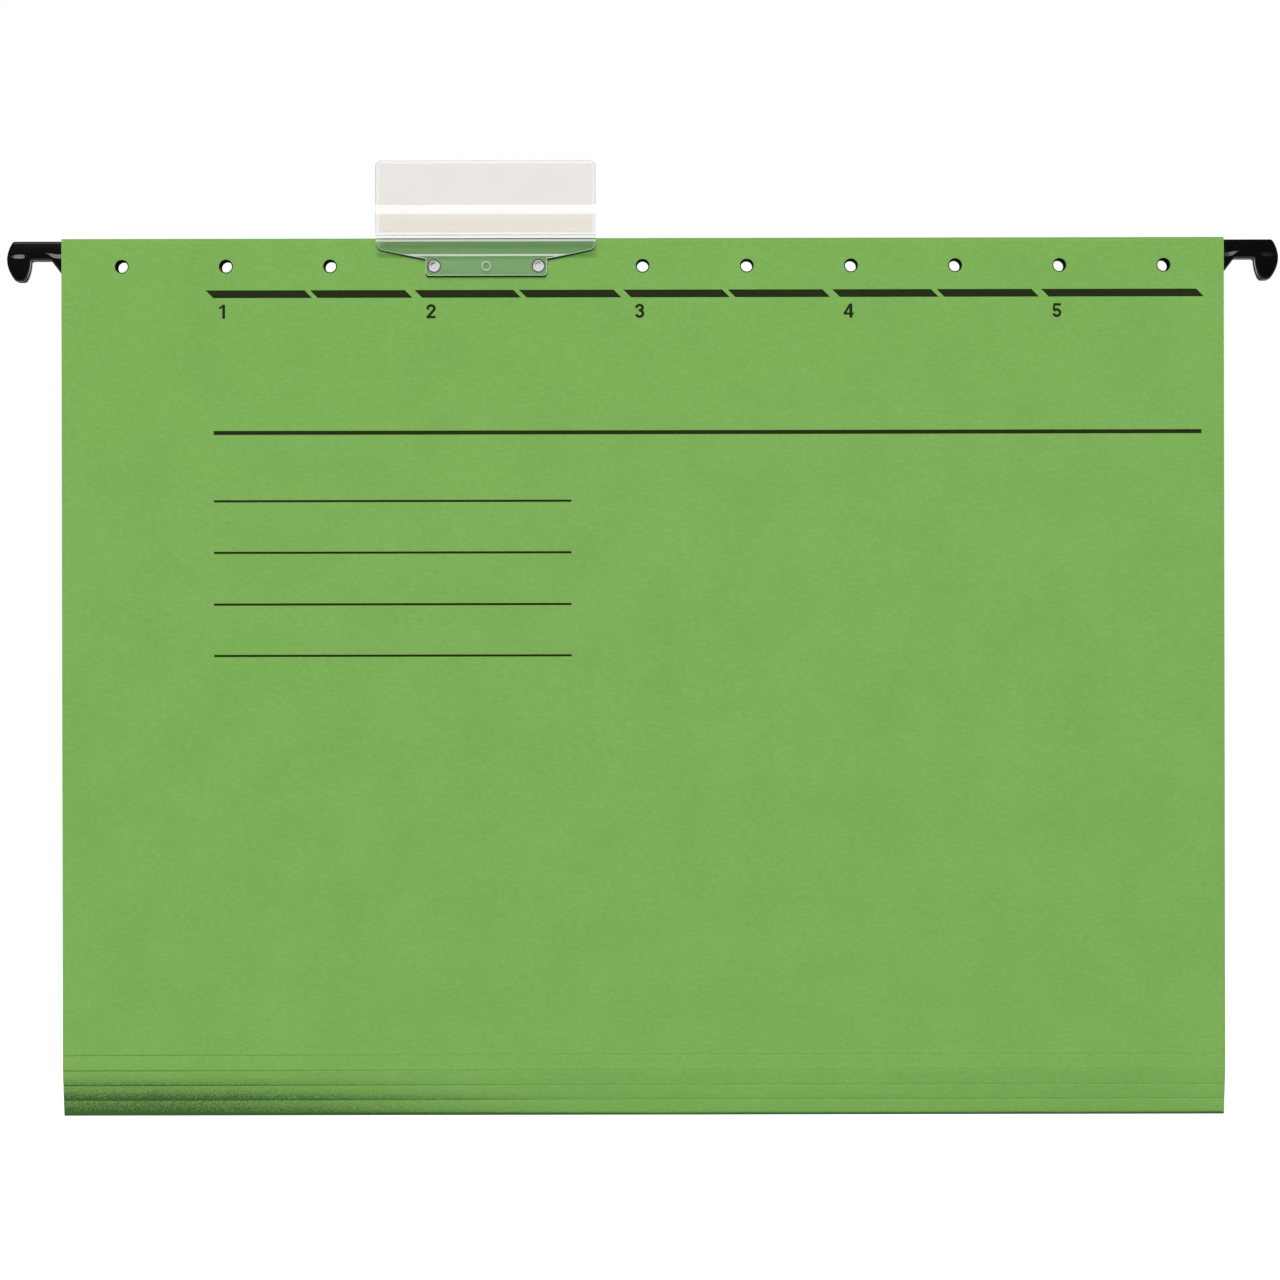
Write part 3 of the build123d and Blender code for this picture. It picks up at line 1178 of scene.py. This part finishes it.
def slant_line(inset):
    """The web's right lower edge, from its rounded outer corner in to the plate."""
    radius, low = shoulder_corner - inset, shoulder_low + inset
    run, rise = tab_half - plate_half, shoulder_high - shoulder_low
    corner = (tab_half - shoulder_corner, shoulder_high + shoulder_back)
    return [
        *bow(*corner, radius, radius, 0, -math.degrees(shoulder_turn)),
        (plate_half - inset + (knee_z - low) / rise * run, knee_z),
        (plate_half - inset, low),
    ]


def plate_line(inset):
    """The plate's bottom edge with its rounded corners."""
    half, low, radius = plate_half - inset, plate_low + inset, plate_corner - inset
    right = bow(half - radius, low + radius, radius, radius, 0, -90)
    return right + mirrored(right)


def on_front(points):
    """These points on the front of the web and the plate."""
    slope = (pane_front - plate_front) / (web_high - web_low)
    return [Vector((tab_x + x, plate_front + slope * max(0, z - knee_z), z)) for x, z in points]


def rim_line(inset):
    """Points along the front of the tab's lower outline, set in by this much."""
    slant = slant_line(inset)
    return on_front(slant + plate_line(inset) + mirrored(slant))


def window_line(inset):
    """Points along the front of the window's upper outline, set in by this much."""
    half, high, radius = tab_half - inset, tab_top - inset, tab_corner - inset
    right = [(half, step_top), *bow(half - radius, high - radius, radius, radius, 0, 90)]
    return [Vector((tab_x + x, front_upper - edge_gap, z)) for x, z in right + mirrored(right)]


def edge_strip(name, line, finish):
    """A thin raised strip along an outline on the tab's front."""
    bm = bmesh.new()
    bmesh.ops.bridge_loops(bm, edges=open_line(bm, line(0)) + open_line(bm, line(rim_width)))
    thicken(bm, (0, -rim_height, 0))
    strip = new_piece(bm, name, finish)
    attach(strip, "tab")


# A pale strip along the lower outline, a painted highlight for the thin light line along the web and the
# plate
edge_strip("tab_rim_highlight", rim_line, whitening_and_highlight_finish("whitened_edge_and_highlight", clearness=0.6))
# A grey see-through strip along the window's outline, painted shade for the thin grey line at its edges
window_edge_shade = edge_shade_finish("clear_plastic_edge_shade", line_shade, gloss_share=0.03)
edge_strip("tab_window_edge_shade", window_line, window_edge_shade)

# The tab's lower edge leans down and back, and a dark see-through strip there is a painted shadow line
# along the web and the plate
bm = bmesh.new()
for run in (slant_line(0), plate_line(0), mirrored(slant_line(0))):
    front = open_line(bm, on_front(run))
    back = pull(bm, front, (0, foot_depth, 0))
    under = pull(bm, back, (0, 0, -foot_drop))
    bmesh.ops.bridge_loops(bm, edges=front + under)
bmesh.ops.holes_fill(bm, edges=bm.edges[:], sides=3)
bmesh.ops.translate(bm, verts=bm.verts, vec=(0, edge_gap, -edge_gap))
bmesh.ops.recalc_face_normals(bm, faces=bm.faces)
foot = new_piece(bm, "tab_shadow_foot", edge_shade_finish("clear_plastic_shadow_foot", foot_painted_shadow, gloss_share=0.3))
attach(foot, "tab")

# Label: a slip of off-white paper, 58 by 18.5 mm, loose in the tab's window. It slides out at
# either end to be written on.
label_dark = (0.88, 0.832, 0.8, 1)
label_light = (0.915, 0.872, 0.838, 1)
label_fibre_height = 0.03 * mm


def label_finish():
    """Smooth uncoated paper, faintly cloudy."""
    material, paint = new_finish("label_paper")
    clouds = paint.grain(160, 3.0)
    fibres = paint.grain(2400, 2.0)
    shade = (0.6 * clouds + 0.4 * fibres).ramp(0.3, 0.7)
    raised = paint.node(
        "ShaderNodeBump", {"Strength": 0.15, "Distance": label_fibre_height, "Height": fibres}
    )
    shader = paint.node(
        "ShaderNodeBsdfPrincipled",
        {
            "Base Color": shade.tint(label_dark, label_light),
            "Roughness": 0.7 + 0.15 * fibres,
            "Specular IOR Level": 0.25,
            "Normal": raised,
        },
    )
    paint.node("ShaderNodeOutputMaterial", {"Surface": shader})
    return material


frame["nodes"]["label_insert"].data.materials.clear()
frame["nodes"]["label_insert"].data.materials.append(label_finish())

# Studio: a pale floor below the hanging folder, white all round it, a small high key lamp and
# a wide soft lamp above and behind the camera.
floor_z = -0.26
floor_r = 9.0
floor_sides = 96
floor_dark = (0.86, 0.86, 0.86, 1)
floor_light = (0.9, 0.9, 0.9, 1)
glow_near, glow_far = 0.4, 2.2
glow_least, glow_most = 0.42, 0.85
ambient = 0.277
front_gloss = 0.03
white_from, white_full = 0.1, 0.75
white_paint = (1, 1, 1, 1)


def floor_finish():
    """Pale floor that the camera sees as white where nothing shades it."""
    material, paint = new_finish("pale_floor")
    camera_ray = paint.node("ShaderNodeLightPath", {}, "Is Camera Ray")
    clear_ray = paint.node("ShaderNodeLightPath", {}, "Is Transmission Ray")
    clouds = paint.grain(3.0, 2.0)
    place = paint.node("ShaderNodeTexCoord", {}, "Object")
    away = paint.node("ShaderNodeVectorMath", {0: place}, "Value", operation="LENGTH")
    glow = away.ramp(glow_near, glow_far, glow_least, glow_most)
    shader = paint.node(
        "ShaderNodeBsdfPrincipled",
        {
            "Base Color": clouds.tint(floor_dark, floor_light),
            "Roughness": 0.9,
            "Specular IOR Level": 0.1,
            "Emission Color": paint.calc("MAXIMUM", camera_ray, clear_ray) * glow,
            "Emission Strength": 1.0,
        },
    )
    paint.node("ShaderNodeOutputMaterial", {"Surface": shader})
    return material


bm = bmesh.new()
bmesh.ops.create_circle(bm, cap_ends=True, segments=floor_sides, radius=floor_r)
bmesh.ops.translate(bm, verts=bm.verts, vec=(0, 0, floor_z))
new_piece(bm, "floor", floor_finish())

world = bpy.data.worlds.new("studio")
bpy.context.scene.world = world
world.use_nodes = True
world.node_tree.nodes.clear()
paint = Paint(world.node_tree)
camera_ray = paint.node("ShaderNodeLightPath", {}, "Is Camera Ray")
glossy_ray = paint.node("ShaderNodeLightPath", {}, "Is Glossy Ray")
clear_ray = paint.node("ShaderNodeLightPath", {}, "Is Transmission Ray")
scattered = paint.calc("MINIMUM", paint.node("ShaderNodeLightPath", {}, "Diffuse Depth"), 1)
way = paint.node("ShaderNodeTexCoord", {}, "Generated")
behind = paint.node("ShaderNodeSeparateXYZ", {"Vector": way}, "Y").ramp(white_from, white_full)
seen = paint.calc("MAXIMUM", camera_ray, paint.calc("MAXIMUM", clear_ray, glossy_ray) * behind)
white = seen * (1 - scattered)
level = white + (1 - white) * (ambient - (ambient - front_gloss) * glossy_ray)
sky = paint.node("ShaderNodeBackground", {"Color": white_paint, "Strength": level})
paint.node("ShaderNodeOutputWorld", {"Surface": sky})

aim = Vector((0, 0, 0.13))
for name, place, width, height, power in (
    ("key_lamp", Vector((-0.15, -2.6, 2.85)), 0.7, 0.7, 61),
    ("soft_lamp", Vector((-0.3, -3.4, 1.6)), 1.7, 1.4, 37),
):
    lamp = bpy.data.lights.new(name, "AREA")
    lamp.shape = "RECTANGLE"
    lamp.size = width
    lamp.size_y = height
    lamp.energy = power
    hung = bpy.data.objects.new(name, lamp)
    hung.location = place
    hung.rotation_euler = (aim - place).to_track_quat("-Z", "Y").to_euler()
    bpy.context.scene.collection.objects.link(hung)

# Camera: a long lens about a metre straight in front of the folder and at half its height. It
# is rolled by a tenth of a degree, as the photograph is.
camera_roll = math.radians(0.11)
camera = bpy.data.cameras.new("camera")
camera.sensor_width = 36
camera.lens = 107.9
camera.clip_start = 0.05
seat = bpy.data.objects.new("camera", camera)
seat.location = (-0.0009, -1.05, 0.1299)
seat.rotation_euler = (math.pi / 2, camera_roll, 0)
bpy.context.scene.collection.objects.link(seat)
bpy.context.scene.camera = seat
bpy.context.scene.view_settings.view_transform = "Standard"
